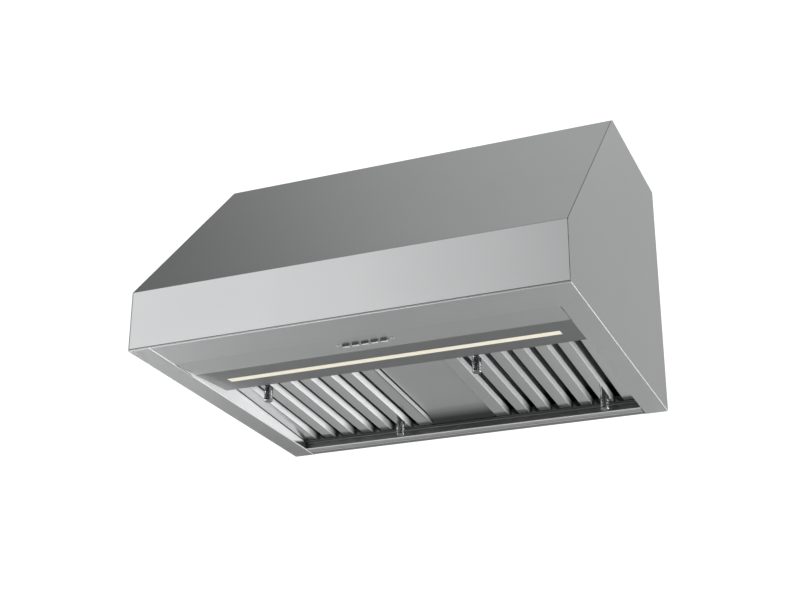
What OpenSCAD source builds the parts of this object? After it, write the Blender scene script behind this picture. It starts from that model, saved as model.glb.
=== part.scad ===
// Under-cabinet range hood with a sloped front, two baffle filters and a top duct outlet.
// Millimetres. X runs left to right, Y from the front to the wall at y = 0, and Z up.
// Modules measure heights from the bottom plane, and placed() moves them to the wall screws' centre.

/* [Outer shell] */
// Width over the side panels
hood_w = 762; // [720:2:920]
// Depth from the wall to the front face
hood_d = 635; // [600:1:680]
// Height from the bottom plane to the top
hood_h = 452; // [430:1:520]
// Depth of the flat top
top_d = 305; // [290:1:340]
// Height of the vertical front face
fascia_h = 106; // [80:1:130]
// Thickness of the shell's sheet
sheet_t = 1.2; // [0.8:0.1:1.6]
// Inner radius of the sheet's bends
bend_r = 1; // [0.4:0.1:1.6]
// Gap left where two outer sheets meet
seam = 0.8; // [0.3:0.1:1.2]
// Radius ground on the bottom corner of the side panels
corner_r = 1; // [0.3:0.1:1.1]

/* [Underside] */
// Height of the bottom frame's front lip, which stands behind the front face
lip_h = 12; // [8:0.5:16]
// Height over which the lip steps back behind the front face
lip_step_h = 0.9; // [0.7:0.1:1.4]
// Inner radius of the lip's step
step_r = 0.2; // [0.1:0.05:0.3]
// Width of the flange along each side
flange_w = 41.5; // [30:0.5:60]
// Depth of the flat part of the front strip
strip_flat_d = 79.5; // [60:0.5:90]
// Depth from the front face to the end of the front strip
strip_d = 150; // [140:1:165]
// Rise of the front strip at its end
strip_rise = 4.4; // [2:0.1:8]
// Height of the light panel's rear edge
light_panel_rise = 13.7; // [10:0.1:16]
// Width of the slit between the strip and the side flange
slit_w = 0.8; // [0.4:0.1:1.5]
// Height of the vertical inner walls beside the filters
liner_h = 62; // [55:1:75]
// Depth of the rear rail, from the wall
rail_d = 38; // [34:0.5:46]
// Width of the grease trough's floor
trough_w = 20; // [14:0.5:22]
// Height of the grease trough's rear wall
trough_h = 11; // [8:0.5:12]

/* [Filters] */
// Width of one filter
filter_w = 273; // [240:1:280]
// Length of one filter, front to back
filter_l = 320; // [300:1:330]
// Height of a filter's frame
filter_t = 28; // [26:0.5:32]
// Height of the filters' underside at their rear edge
filter_rear_z = 14; // [13:0.1:17]
// Tilt of the filters, front edge high
filter_tilt = 2.7; // [1.5:0.1:3.5]
// Gap between a filter and the liner beside it
filter_side_gap = 2.5; // [1.5:0.1:4]
// Gap between a filter's rear edge and the rear rail
filter_rear_gap = 5; // [3:0.5:7]
// Gap between a filter's front edge and the light panel
filter_front_gap = 6; // [4:0.5:8]
// Thickness of the filters' sheet
filter_sheet_t = 0.8; // [0.6:0.1:1.2]
// Inner radius of the filters' bends
filter_bend_r = 0.4; // [0.3:0.1:1]
// Width of the flat face of the filter's side rails
side_rail_w = 26.4; // [22:0.2:30]
// Number of lower baffles between the side rails
baffle_count = 5; // [4:1:6]
// Width of the flat face of a lower baffle
baffle_w = 21.5; // [18:0.5:22]
// Height of a lower baffle's walls
baffle_h = 15; // [12:0.5:16]
// Inward lip along a lower baffle's walls
baffle_lip = 3; // [2:0.5:3.5]
// Overlap of an upper baffle over the lower ones beside it
upper_overlap = 6.2; // [5.5:0.1:7]
// Height of the upper baffles' lower edges
upper_low_z = 9; // [7:0.5:12]
// Gap that a filter keeps to the ledges it rests on
rest_gap = 0.3; // [0.2:0.05:0.5]
// How far a ledge reaches under a filter
ledge_reach = 6; // [5:0.5:10]

/* [Filter knobs] */
// Diameter of a knob
knob_d = 16; // [12:0.5:18]
// Length of a knob below the filter
knob_l = 27; // [20:1:30]
// Distance of a knob's centre from the filter's end
knob_inset = 40; // [30:1:60]
// How far a knob stands to the right of its baffle's middle
knob_shift = 2.3; // [-2.5:0.1:2.5]
// Depth of the grip grooves
knob_groove = 1.2; // [0.6:0.1:1.6]
// Width of a grip groove
groove_w = 2.4; // [1.6:0.1:3]
// Distance between neighbouring grip grooves
groove_pitch = 5; // [3.5:0.1:6]
// Diameter of the knob's threaded stud
stud_d = 4; // [3:0.5:6]

/* [Centre panel] */
// Gap between the centre panel and the filter beside it
centre_gap = 2; // [1.2:0.1:3]
// Height of the centre panel above the filters' underside
centre_rise = 10; // [8:0.5:12]
// Angle at which the centre panel's rear end falls to the ledge
centre_fall = 22; // [18:1:45]
// Radius of the bend at the centre panel's rear end
centre_bend_r = 120; // [20:1:130]
// Height of the centre panel's side legs above its face
centre_leg_h = 16; // [10:1:18]

/* [Lamp] */
// Visible length of the lamp's lens
lens_l = 606; // [500:2:640]
// Visible width of the lamp's lens
lens_w = 18.5; // [14:0.5:24]
// Clearance round the lens in its slot
lens_gap = 0.4; // [0.2:0.1:0.8]
// Thickness of the lens
lens_t = 3; // [2:0.5:4]
// Number of light chips on the lamp's board
chip_count = 48; // [24:4:60]
// Length of the lamp's driver, across the back panel
driver_l = 140; // [100:5:150]
// Depth of the lamp's driver, from the back panel
driver_d = 22; // [16:1:30]
// Height of the lamp's driver
driver_h = 24; // [18:1:36]
// Length of each ear that holds the lamp's driver
driver_ear = 9; // [6:1:12]

/* [Buttons] */
// Distance between neighbouring buttons
button_pitch = 16.9; // [16:0.1:20]
// Width of a button
button_w = 12.4; // [9:0.1:13]
// Depth of a button, front to back
button_d = 6; // [4.5:0.1:10]
// Height that a button stands out of the strip
button_h = 4.4; // [2.5:0.1:6]
// Travel of a button
button_travel = 2; // [1.5:0.1:2.4]
// Clearance round a button in its hole
button_gap = 0.4; // [0.3:0.05:0.6]
// Distance from the front face to the buttons' centre
button_from_front = 110.5; // [100:0.5:120]
// Distance of each screw from the middle of the button row
switch_screw_x = 48; // [46:0.5:54]
// Length of the switch body beyond each of its screws
switch_end = 6; // [5:0.5:10]
// Height of the switch body above the strip
switch_h = 26; // [22:1:34]
// Width of the switch body before and behind the buttons
switch_side = 8; // [5:0.5:10]
// Diameter of the holes for the switch's screws
switch_hole_d = 3.4; // [3:0.1:4]

/* [Blower] */
// Outer radius of the impeller
wheel_r = 95; // [85:1:98]
// Width of the impeller
wheel_w = 116; // [90:1:120]
// Number of impeller blades
blade_count = 36; // [24:2:42]
// Radial depth of a blade
blade_depth = 16; // [12:1:20]
// Radial gap between the impeller and the scroll's tongue
tongue_gap = 8; // [6:0.5:12]
// Largest radius of the scroll
scroll_r = 160; // [150:1:170]
// Width inside the scroll
scroll_w = 146; // [140:2:160]
// Drop from the top to the impeller's axis
axis_drop = 190; // [180:1:200]
// Thickness of the blower's sheet
blower_t = 1.5; // [1:0.1:2]
// Diameter of the motor's housing
motor_d = 112; // [90:2:120]
// Length of the motor's housing
motor_l = 82; // [60:2:90]
// Diameter of the motor's shaft
shaft_d = 8; // [6:0.5:10]
// Running clearance round the motor's shaft
shaft_gap = 0.05; // [0.02:0.01:0.1]
// Radius of the rolled edge of the inlet ring
inlet_roll = 7; // [4:0.5:9]
// Thickness of the ring between the motor and its plate
mount_t = 2; // [1.5:0.5:4]
// Distance of the motor's studs from its axis
motor_stud_r = 38; // [30:1:42]
// Diameter of the motor's studs
motor_stud_d = 5; // [4:0.5:6]
// Length of a stud inside the motor
stud_bite = 10; // [6:1:14]
// Height of the nuts on the motor's studs
motor_nut_h = 4; // [3:0.5:5]
// Radius of the run capacitor
capacitor_r = 17; // [12:1:20]
// Length of the run capacitor
capacitor_l = 58; // [40:2:70]

/* [Duct collar] */
// Outer diameter of the duct collar
collar_d = 203.2; // [150:0.2:204]
// Height of the duct collar above the top
collar_h = 40; // [35:1:42]
// Distance from the wall to the collar's centre
collar_y = 130; // [128:1:150]
// Thickness of the collar's sheet
collar_t = 1; // [0.8:0.1:1.5]
// Width of the collar's flange
collar_flange_w = 10; // [8:1:12]
// Diameter of the screws that hold the blower's flange
flange_screw_d = 3.4; // [3:0.1:4]
// Height of the damper rod above the top
rod_z = 10; // [8:1:14]
// Diameter of the damper rod
rod_d = 4; // [3:0.5:5]
// Thickness of a damper flap
flap_t = 0.8; // [0.6:0.1:1.2]

/* [Fixing holes] */
// Radius of the wall and cabinet screw holes
screw_hole_r = 3.5; // [2.5:0.1:4.5]
// Distance between wall screws across the back
wall_spacing_x = 406.4; // [300:0.2:500]
// Distance between wall screws up the back
wall_spacing_z = 200; // [120:2:240]
// Height of the wall screws' centre above the bottom plane
wall_screw_z = 250; // [230:1:270]
// Distance between cabinet screws across the top
cabinet_spacing_x = 600; // [560:2:640]
// Distance between cabinet screws front to back
cabinet_spacing_y = 200; // [150:2:220]

/* [Junction box] */
// Width of the junction box
junction_w = 90; // [70:2:110]
// Depth of the junction box, from the back panel
junction_d = 70; // [50:2:80]
// Height of the junction box
junction_h = 60; // [45:1:80]
// Distance from the side panel to the box's centre
junction_inset = 130; // [110:2:140]
// Radius of the supply cable's hole in its bushing
cable_r = 8; // [5:0.5:9]
// Length of the bushing's bore
bushing_l = 9; // [6:0.5:12]
// Radius of the hole for the wires to the blower
wire_hole_r = 8; // [5:0.5:10]

/* [Hidden] */
$fn = 64;
bend_steps = 4;

steel = [0.72, 0.73, 0.73];
dark_steel = [0.42, 0.42, 0.43];
galvanised = [0.62, 0.65, 0.67];
black_plastic = [0.08, 0.08, 0.09];
grey_plastic = [0.45, 0.46, 0.48];
warm_white = [0.97, 0.94, 0.84];
board_green = [0.12, 0.38, 0.2];
polished = [0.85, 0.86, 0.87];

front_y = -hood_d;
inner_x = hood_w / 2 - flange_w;
side_inner_x = hood_w / 2 - sheet_t;
strip_flat_y = front_y + strip_flat_d;
strip_end_y = front_y + strip_d;
strip_tilt = atan2(strip_rise, strip_d - strip_flat_d);
lip_step = sheet_t + rest_gap;
lip_low_z = bend_r + sheet_t + (step_r + sheet_t) * tan(atan2(lip_step, lip_step_h) / 2) + 0.05;
fascia_z = lip_low_z + lip_step_h;

filter_rear_y = -rail_d - filter_rear_gap;
filter_front_y = filter_rear_y - filter_l * cos(filter_tilt);
panel_end_y = filter_front_y - filter_front_gap;
panel_front_y = strip_end_y + slit_w;
light_tilt = atan2(light_panel_rise - strip_rise, panel_end_y - panel_front_y);
filter_outer_x = inner_x - filter_side_gap;
filter_inner_x = filter_outer_x - filter_w;
baffle_gap = (filter_w - 2 * side_rail_w - baffle_count * baffle_w) / (baffle_count + 1);
baffle_pitch = baffle_w + baffle_gap;
end_gap = 0.2;
rear_rail_y = -rail_d;
back_fold_l = bend_r + sheet_t + 0.05;
rail_floor_y = rear_rail_y + back_fold_l;
ledge_top_z = filter_rear_z - rest_gap;

lens_mid_l = (panel_end_y - panel_front_y) / cos(light_tilt) / 2;
housing_w = lens_w + 8;
housing_h = 16;
housing_l = lens_l + 12;
board_z = 9;

switch_from_flat = (button_from_front - strip_flat_d) / cos(strip_tilt);
button_count = 5;
screw_head_h = 2.2;
screw_head_d = 6.4;
stem_w = button_w - 2.6;
stem_d = button_d - 2.2;
stem_h = 8;
switch_l = 2 * (switch_screw_x + switch_end);
switch_w = button_d + 2 * switch_side;

blower_z = hood_h - axis_drop;
tongue_r = wheel_r + tongue_gap;
tongue_angle = 60;
neck_front = tongue_r * cos(tongue_angle);
neck_mid = (neck_front + scroll_r) / 2;
blower_y = -collar_y - neck_mid;
scroll_steps = 50;
neck_top_z = hood_h - sheet_t - blower_z;
outlet_flange = collar_d + 12;
inlet_r = wheel_r - blade_depth - 2;
wheel_x = wheel_w / 2;
scroll_x = scroll_w / 2;
plate_x = scroll_x + blower_t;
motor_x = plate_x + mount_t;
shaft_hole_r = shaft_d + 6;
hub_r = shaft_d * 2;
stud_hole_d = motor_stud_d + 0.4;

junction_x = hood_w / 2 - junction_inset;
bushing_r = cable_r + 3;

collar_r = collar_d / 2;
flange_hole_d = flange_screw_d + 0.8;
cut_l = 40;
stop_w = 3;
flap_r = collar_r - collar_t - 1.2;
throat_r = collar_r - collar_t - stop_w;
knuckle_r = rod_d / 2 + 1.3;
rod_gap = 0.15;
knuckle_l = 18;

// Moves a piece from the bottom plane's frame to the part's frame, whose origin is the wall screws' centre
module placed() {
    translate([0, 0, -wall_screw_z]) children();
}

function unit(v) = v / norm(v);
function left_of(v) = [-v[1], v[0]];
function turned(v, a) = [v[0] * cos(a) - v[1] * sin(a), v[0] * sin(a) + v[1] * cos(a)];
function turn_between(a, b) = atan2(a[0] * b[1] - a[1] * b[0], a * b);

// Arc at one corner of a folded sheet. Side 0 is the path's own face and side 1 the face to its left
function bend_arc(before, corner, after, r, t, side) =
    let (
        d1 = unit(corner - before),
        d2 = unit(after - corner),
        phi = turn_between(d1, d2),
        way = phi > 0 ? 1 : -1,
        path_r = r + (way > 0 ? t : 0),
        reach = path_r * tan(abs(phi) / 2),
        centre = corner - d1 * reach + left_of(d1) * way * path_r,
        face_r = path_r - way * t * side
    )
    [for (k = [0 : bend_steps]) centre - way * face_r * turned(left_of(d1), phi * k / bend_steps)];

function pick(r, i) = is_list(r) ? r[i - 1] : r;

// One face of a folded sheet, from the path's start to its end
function sheet_face(path, r, t, side) =
    let (
        n = len(path) - 1,
        first = path[0] + side * t * left_of(unit(path[1] - path[0])),
        last = path[n] + side * t * left_of(unit(path[n] - path[n - 1])),
        bends = [
            for (i = [1 : 1 : n - 1])
                each bend_arc(path[i - 1], path[i], path[i + 1], pick(r, i), t, side)
        ]
    )
    concat([first], bends, [last]);

function reversed(list) = [for (i = [len(list) - 1 : -1 : 0]) list[i]];

// Section of a sheet that lies to the left of the path
module sheet_section(path, r = bend_r, t = sheet_t) {
    polygon(concat(sheet_face(path, r, t, 0), reversed(sheet_face(path, r, t, 1))));
}

// Draws a Y-Z section along X, centred on x = 0
module along_x(length) {
    rotate([90, 0, 90]) linear_extrude(length, center = true) children();
}

// Draws an X-Z section from the rear y to the front y
module along_y(rear, front) {
    translate([0, rear, 0]) rotate([90, 0, 0]) linear_extrude(rear - front) children();
}

module mirrored_x() {
    mirror([1, 0, 0]) children();
}

// Box given by its lowest and highest corners
module block(low, high) {
    translate(low) cube(high - low);
}

// Side outline of the hood: top, sloped front and front face, down to a height
function outline(low_z) = [[0, hood_h], [-top_d, hood_h], [front_y, fascia_h], [front_y, low_z]];

module outer_wrap() {
    color(steel) placed() difference() {
        along_x(2 * (side_inner_x - seam)) sheet_section(outline(fascia_z));
        translate([0, -collar_y, 0]) cylinder(r = throat_r, h = hood_h + 1);
        for (x = [-1, 1], y = [-1, 1])
            translate([x * cabinet_spacing_x / 2, -top_d / 2 + y * cabinet_spacing_y / 2, hood_h])
                cylinder(r = screw_hole_r, h = cut_l, center = true, $fn = 32);
        at_flange_screws() translate([0, 0, hood_h]) cylinder(d = flange_hole_d, h = cut_l, center = true, $fn = 24);
    }
}

// Side sheet, flush with the wrap all round, with a hem on top of the bottom frame's flange
module side_panel_shape() {
    hem_w = 12;
    edge_x = hood_w / 2 - corner_r;
    difference() {
        translate([side_inner_x, 0, 0]) rotate([90, 0, 90]) linear_extrude(sheet_t)
            polygon(sheet_face(concat(outline(0), [[0, 0]]), bend_r, sheet_t, 0));
        along_y(1, front_y - 1) difference() {
            translate([edge_x, -1]) square(corner_r + 1);
            translate([edge_x, corner_r]) circle(r = corner_r, $fn = 32);
        }
    }
    block([side_inner_x - hem_w, front_y + lip_h, sheet_t], [side_inner_x + sheet_t / 2, -sheet_t, 2 * sheet_t]);
}

module left_side_panel() {
    color(steel) placed() mirrored_x() side_panel_shape();
}

module right_side_panel() {
    color(steel) placed() side_panel_shape();
}

module back_panel() {
    color(steel) placed() difference() {
        union() {
            along_x(2 * (inner_x - rest_gap)) sheet_section([
                [-back_fold_l, 0], [0, 0], [0, hood_h - sheet_t]
            ]);
            block([-side_inner_x, -sheet_t, 0], [-inner_x + 1, 0, hood_h - sheet_t]);
            block([inner_x - 1, -sheet_t, 0], [side_inner_x, 0, hood_h - sheet_t]);
        }
        for (x = [-1, 1], z = [-1, 1])
            translate([x * wall_spacing_x / 2, 0, wall_screw_z + z * wall_spacing_z / 2])
                rotate([90, 0, 0]) cylinder(r = screw_hole_r, h = 20, center = true, $fn = 32);
        translate([junction_x, 0, hood_h - sheet_t - junction_h / 2])
            rotate([90, 0, 0]) cylinder(r = bushing_r, h = 20, center = true, $fn = 32);
    }
}

// Puts its children on the sloped part of the strip, with z = 0 on its underside, at a distance from the bend
module on_strip(from_bend) {
    translate([0, strip_flat_y, 0]) rotate([strip_tilt, 0, 0]) translate([0, from_bend, 0]) children();
}

// Front strip and side flanges. Its front lip is flush with the front face and steps back behind it
module bottom_frame() {
    flat_end = strip_flat_y - 6;
    lip_y = front_y + lip_step;
    color(steel) placed() difference() {
        union() {
            along_x(2 * side_inner_x) sheet_section([
                [lip_y, lip_h], [lip_y, fascia_z], [front_y, lip_low_z], [front_y, 0], [strip_flat_y - 3, 0]
            ], [step_r, step_r, bend_r]);
            along_x(2 * (inner_x - slit_w)) sheet_section([
                [flat_end, 0], [strip_flat_y, 0], [strip_end_y, strip_rise]
            ]);
            block([-side_inner_x, flat_end, 0], [-inner_x, -sheet_t, sheet_t]);
            block([inner_x, flat_end, 0], [side_inner_x, -sheet_t, sheet_t]);
        }
        on_strip(switch_from_flat) {
            for (i = [0 : button_count - 1])
                translate([button_x(i), 0, 0])
                    cube([button_w + 2 * button_gap, button_d + 2 * button_gap, 12], center = true);
            for (side = [-1, 1])
                translate([side * switch_screw_x, 0, -5]) cylinder(d = switch_hole_d, h = 10, $fn = 24);
        }
    }
}

module liner_shape() {
    along_y(-sheet_t, strip_flat_y - 20) sheet_section([
        [side_inner_x, liner_h], [inner_x, liner_h], [inner_x, sheet_t]
    ]);
}

module left_liner() {
    color(steel) placed() mirrored_x() liner_shape();
}

module right_liner() {
    color(steel) placed() liner_shape();
}

// Height of the filters' underside at a depth
function filter_z(y) = filter_rear_z + (filter_rear_y - y) * tan(filter_tilt);

// Puts its children on the light panel, with z = 0 on its underside, at a distance from its front edge
module on_light_panel(from_front) {
    translate([0, panel_front_y, strip_rise]) rotate([light_tilt, 0, 0]) translate([0, from_front, 0]) children();
}

module light_panel() {
    ledge_y = filter_front_y + ledge_reach;
    ledge_z = filter_z(ledge_y) - rest_gap - sheet_t;
    hem = 8;
    color(dark_steel) placed() difference() {
        along_x(2 * (inner_x - slit_w)) sheet_section([
            [panel_front_y, strip_rise + hem], [panel_front_y, strip_rise], [panel_end_y, light_panel_rise],
            [panel_end_y, filter_z(panel_end_y) - rest_gap - sheet_t], [ledge_y, ledge_z]
        ]);
        on_light_panel(lens_mid_l)
            cube([lens_l + 2 * lens_gap, lens_w + 2 * lens_gap, 10], center = true);
    }
}

module led_lens() {
    color(warm_white) placed() on_light_panel(lens_mid_l) {
        translate([-lens_l / 2, -lens_w / 2, 0]) cube([lens_l, lens_w, sheet_t]);
        translate([-lens_l / 2 - 3, -lens_w / 2 - 2, sheet_t]) cube([lens_l + 6, lens_w + 4, lens_t - sheet_t]);
    }
}

module led_housing() {
    wall = 1.4;
    flange = 5;
    color(galvanised) placed() on_light_panel(lens_mid_l) {
        difference() {
            block([-housing_l / 2, -housing_w / 2, sheet_t], [housing_l / 2, housing_w / 2, housing_h]);
            block([-housing_l / 2 + wall, -housing_w / 2 + wall, 0],
                [housing_l / 2 - wall, housing_w / 2 - wall, housing_h - wall]);
        }
        for (side = [-1, 1])
            translate([-housing_l / 2, side > 0 ? housing_w / 2 : -housing_w / 2 - flange, sheet_t])
                cube([housing_l, flange, wall]);
        for (side = [-1, 1])
            translate([-housing_l / 2 + wall, side * (housing_w / 2 - wall - 1) - 1, board_z + 1.6])
                cube([housing_l - 2 * wall, 2, housing_h - wall - board_z - 1.6]);
    }
}

module led_board() {
    board_l = lens_l - 4;
    board_w = housing_w - 4;
    chip = 3.5;
    color(board_green) placed() on_light_panel(lens_mid_l) {
        translate([-board_l / 2, -board_w / 2, board_z]) cube([board_l, board_w, 1.6]);
        for (i = [0 : chip_count - 1])
            translate([board_l * ((i + 0.5) / chip_count - 0.5) - chip / 2, -chip / 2, board_z - 0.8])
                cube([chip, chip, 1]);
    }
}

// The lamp's driver, on the back panel between the upper and lower wall screws
module led_driver() {
    ear_t = 2.5;
    color(grey_plastic) placed() translate([junction_x, -sheet_t, wall_screw_z]) {
        translate([-driver_l / 2, -driver_d, -driver_h / 2]) cube([driver_l, driver_d, driver_h]);
        translate([-driver_l / 2 - driver_ear, -ear_t, -driver_h / 2])
            cube([driver_l + 2 * driver_ear, ear_t, driver_h]);
    }
}

function button_x(i) = (i - (button_count - 1) / 2) * button_pitch;

module switch_body() {
    cap_room = button_travel * 2 + 0.6;
    stem_room = cap_room + stem_h;
    color(grey_plastic) placed() on_strip(switch_from_flat) difference() {
        translate([-switch_l / 2, -switch_w / 2, sheet_t]) cube([switch_l, switch_w, switch_h]);
        for (i = [0 : button_count - 1]) translate([button_x(i), 0, 0]) {
            translate([-button_w / 2 - button_gap, -button_d / 2 - button_gap, 0])
                cube([button_w + 2 * button_gap, button_d + 2 * button_gap, cap_room + sheet_t]);
            translate([-stem_w / 2 - button_gap, -stem_d / 2 - button_gap, 0])
                cube([stem_w + 2 * button_gap, stem_d + 2 * button_gap, stem_room + sheet_t]);
        }
        for (side = [-1, 1])
            translate([side * switch_screw_x, 0, -1]) cylinder(d = switch_hole_d, h = 14, $fn = 24);
    }
}

module switch_screws() {
    color(polished) placed() on_strip(switch_from_flat) for (side = [-1, 1])
        translate([side * switch_screw_x, 0, 0]) {
            rotate_extrude($fn = 32) polygon([
                [0, 0], [screw_head_d / 2, 0], [screw_head_d / 2, -screw_head_h * 0.45],
                [screw_head_d * 0.4, -screw_head_h * 0.8], [screw_head_d * 0.2, -screw_head_h], [0, -screw_head_h]
            ]);
            cylinder(d = switch_hole_d - 0.4, h = 10, $fn = 24);
        }
}

// One push button: a chamfered cap that stands out of the strip, and a stem in the switch body
module button(i) {
    edge = 0.7;
    color(black_plastic) placed() on_strip(switch_from_flat) translate([button_x(i), 0, 0]) {
        rotate([90, 0, 0]) linear_extrude(button_d, center = true) polygon([
            [-button_w / 2 + edge, -button_h], [button_w / 2 - edge, -button_h],
            [button_w / 2, -button_h + edge], [button_w / 2, button_travel],
            [-button_w / 2, button_travel], [-button_w / 2, -button_h + edge]
        ]);
        translate([-stem_w / 2, -stem_d / 2, 0]) cube([stem_w, stem_d, button_travel + stem_h]);
    }
}

module light_button() { button(0); }
module off_button() { button(1); }
module low_button() { button(2); }
module medium_button() { button(3); }
module high_button() { button(4); }

// Ledge for the filters' rear edges and the grease trough's front wall
module grease_rail() {
    ledge_front = filter_rear_y - ledge_reach;
    color(steel) placed() along_x(2 * (inner_x - seam)) sheet_section([
        [ledge_front, ledge_top_z - sheet_t], [rear_rail_y, ledge_top_z - sheet_t], [rear_rail_y, 0],
        [rail_floor_y, 0]
    ]);
}

// Floor of the grease trough
module grease_trough() {
    color(steel) placed()
        block([-inner_x + seam, rail_floor_y, 0], [inner_x - seam, rear_rail_y + trough_w, sheet_t]);
}

// Rear wall of the grease trough and the flat flange behind it
module rear_flange() {
    color(steel) placed() along_x(2 * (inner_x - rest_gap)) sheet_section([
        [rear_rail_y + trough_w, trough_h], [rear_rail_y + trough_w, 0], [-back_fold_l, 0]
    ]);
}

// Puts its children in the filters' tilted frame: y = 0 is the rear edge and z = 0 the underside
module at_filters() {
    translate([0, filter_rear_y, filter_rear_z]) rotate([-filter_tilt, 0, 0]) children();
}

module centre_panel() {
    t = filter_sheet_t;
    half = filter_inner_x - centre_gap;
    foot = 8;
    fall_l = centre_rise / sin(centre_fall);
    fall_y = -foot - centre_rise / tan(centre_fall);
    round_r = min(centre_bend_r, fall_l / tan(centre_fall / 2) - bend_r - t - 0.5);
    front = -filter_l + foot;
    leg_front = front + bend_r + t;
    leg_rear = fall_y - round_r * tan(centre_fall / 2);
    color(steel) placed() at_filters() {
        along_x(2 * half) sheet_section([
            [-filter_l, 0], [front, 0], [front, centre_rise], [fall_y, centre_rise], [-foot, 0], [0, 0]
        ], [bend_r, bend_r, round_r, bend_r], t);
        for (side = [-1, 1])
            translate([side * (half - t / 2), 0, 0]) along_x(t) polygon([
                [leg_front, centre_rise + t / 2], [leg_rear, centre_rise + t / 2],
                [leg_rear, centre_rise + centre_leg_h], [leg_front, centre_rise + centre_leg_h]
            ]);
    }
}

// Side rails and end plates of one filter. Its own frame runs from x = 0 to its width
module filter_frame_shape() {
    t = filter_sheet_t;
    top_lip = 8;
    rail = [
        [top_lip, filter_t], [0, filter_t], [0, 0], [side_rail_w, 0], [side_rail_w, baffle_h]
    ];
    along_y(-t / 2, -filter_l + t / 2) sheet_section(rail, filter_bend_r, t);
    along_y(-t / 2, -filter_l + t / 2) translate([filter_w, 0]) mirror([1, 0]) sheet_section(rail, filter_bend_r, t);
    for (y = [-filter_l, -t])
        block([t / 2, y, t / 2], [filter_w - t / 2, y + t, filter_t - t / 2]);
    for (y = [-filter_l, -top_lip])
        block([top_lip - 1, y, filter_t - t], [filter_w - top_lip + 1, y + top_lip, filter_t]);
}

module filter_lower_shape() {
    t = filter_sheet_t;
    front = -filter_l + t + end_gap;
    for (i = [0 : baffle_count - 1])
        translate([side_rail_w + baffle_gap + i * baffle_pitch, 0, 0]) difference() {
            along_y(-t - end_gap, front) sheet_section([
                [baffle_lip, baffle_h], [0, baffle_h], [0, 0],
                [baffle_w, 0], [baffle_w, baffle_h], [baffle_w - baffle_lip, baffle_h]
            ], filter_bend_r, t);
            if (i == 0) translate([baffle_w / 2 + knob_shift, -filter_l + knob_inset, -1])
                cylinder(d = stud_d + 0.4, h = 4, $fn = 24);
            if (i == baffle_count - 1) translate([baffle_w / 2 + knob_shift, -knob_inset, -1])
                cylinder(d = stud_d + 0.4, h = 4, $fn = 24);
        }
}

module filter_upper_shape() {
    t = filter_sheet_t;
    top = filter_t - t - end_gap;
    low_x = -upper_overlap;
    high_x = baffle_gap + upper_overlap;
    for (i = [0 : baffle_count])
        translate([side_rail_w + i * baffle_pitch, 0, 0])
            along_y(-t - end_gap, -filter_l + t + end_gap) sheet_section([
                [high_x, upper_low_z], [high_x, top], [low_x, top], [low_x, upper_low_z]
            ], filter_bend_r, t);
}

// The two places of a filter's knobs: one near the front on the first baffle, one near the rear on the last
module at_knobs() {
    first = side_rail_w + baffle_gap + baffle_w / 2 + knob_shift;
    last = first + (baffle_count - 1) * baffle_pitch;
    translate([first, -filter_l + knob_inset, 0]) children();
    translate([last, -knob_inset, 0]) children();
}

// Turned knob with three grip grooves on its lower half and a stud through the baffle
module knob() {
    r = knob_d / 2;
    first = knob_l - 3 * groove_pitch - groove_w / 2;
    rotate_extrude($fn = 48) polygon(concat(
        [[0, 0], [r - 0.8, 0], [r, -0.8]],
        [
            for (i = [0 : 2], p = [[0, 0], [0.6, 1], [groove_w - 0.6, 1], [groove_w, 0]])
                [r - p[1] * knob_groove, -first - i * groove_pitch - p[0]]
        ],
        [[r, -knob_l + 1], [r - 1, -knob_l], [0, -knob_l]]
    ));
    cylinder(d = stud_d, h = 8, $fn = 24);
}

module knob_nut() {
    translate([0, 0, filter_sheet_t]) difference() {
        cylinder(d = stud_d * 2, h = 3.2, $fn = 6);
        translate([0, 0, -1]) cylinder(d = stud_d, h = 6, $fn = 24);
    }
}

module left_filter() {
    placed() at_filters() translate([-filter_outer_x, 0, 0]) children();
}

module right_filter() {
    placed() at_filters() translate([filter_inner_x, 0, 0]) children();
}

module left_filter_frame() { color(steel) left_filter() filter_frame_shape(); }
module left_filter_lower_baffles() { color(steel) left_filter() filter_lower_shape(); }
module left_filter_upper_baffles() { color(steel) left_filter() filter_upper_shape(); }
module left_filter_knobs() { color(polished) left_filter() at_knobs() knob(); }
module left_filter_knob_nuts() { color(polished) left_filter() at_knobs() knob_nut(); }
module right_filter_frame() { color(steel) right_filter() filter_frame_shape(); }
module right_filter_lower_baffles() { color(steel) right_filter() filter_lower_shape(); }
module right_filter_upper_baffles() { color(steel) right_filter() filter_upper_shape(); }
module right_filter_knobs() { color(polished) right_filter() at_knobs() knob(); }
module right_filter_knob_nuts() { color(polished) right_filter() at_knobs() knob_nut(); }

// Radius of the scroll at an angle from the rear, growing from the tongue to the outlet
function scroll_radius(a) = tongue_r + (scroll_r - tongue_r) * (a - tongue_angle) / (360 - tongue_angle);

function scroll_points(grow) = [
    for (k = [0 : scroll_steps])
        let (a = tongue_angle + (360 - tongue_angle) * k / scroll_steps)
        (scroll_radius(a) + grow) * [cos(a), sin(a)]
];

// Side outline of the scroll and its outlet neck about the impeller's axis
module scroll_section(grow = 0) {
    polygon(concat(
        scroll_points(grow),
        [[scroll_r + grow, neck_top_z], [neck_front - grow, neck_top_z]]
    ));
}

module at_blower() {
    translate([0, blower_y, blower_z]) children();
}

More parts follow.
